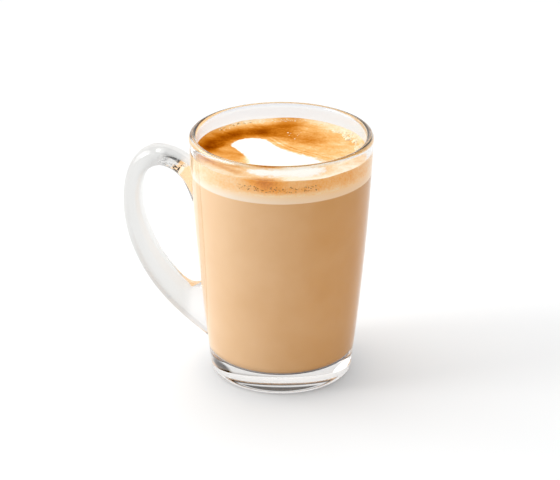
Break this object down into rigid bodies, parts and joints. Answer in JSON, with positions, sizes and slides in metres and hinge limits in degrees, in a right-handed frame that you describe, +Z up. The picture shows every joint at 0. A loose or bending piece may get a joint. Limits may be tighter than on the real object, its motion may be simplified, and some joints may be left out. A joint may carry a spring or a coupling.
{
  "type": "glass mug of milky coffee",
  "caption": "Clear tapered glass mug with a thick base and a solid curved handle, filled with layered milky coffee under foam and a poured white milk shape.",
  "frame": {"origin": "centre of the mug's flat underside, on the axis of the cup", "axes": "+Z up along the cup's axis, the handle points along -X"},
  "size_m": [0.1094, 0.079, 0.1097],
  "materials": {
    "clear_glass": "clear pressed soda-lime glass, fire polished",
    "milky_coffee": "opaque milky coffee",
    "pale_milk": "fine pale milk foam",
    "coffee_crema": "brown crema with fine bubbles, moist",
    "white_milk": "smooth white steamed milk, moist"
  },
  "bodies": {
    "root": {"mug": "clear_glass", "coffee": "milky_coffee", "milk_foam": "pale_milk", "crema": "coffee_crema", "milk_art": "white_milk"}
  },
  "joints": []
}
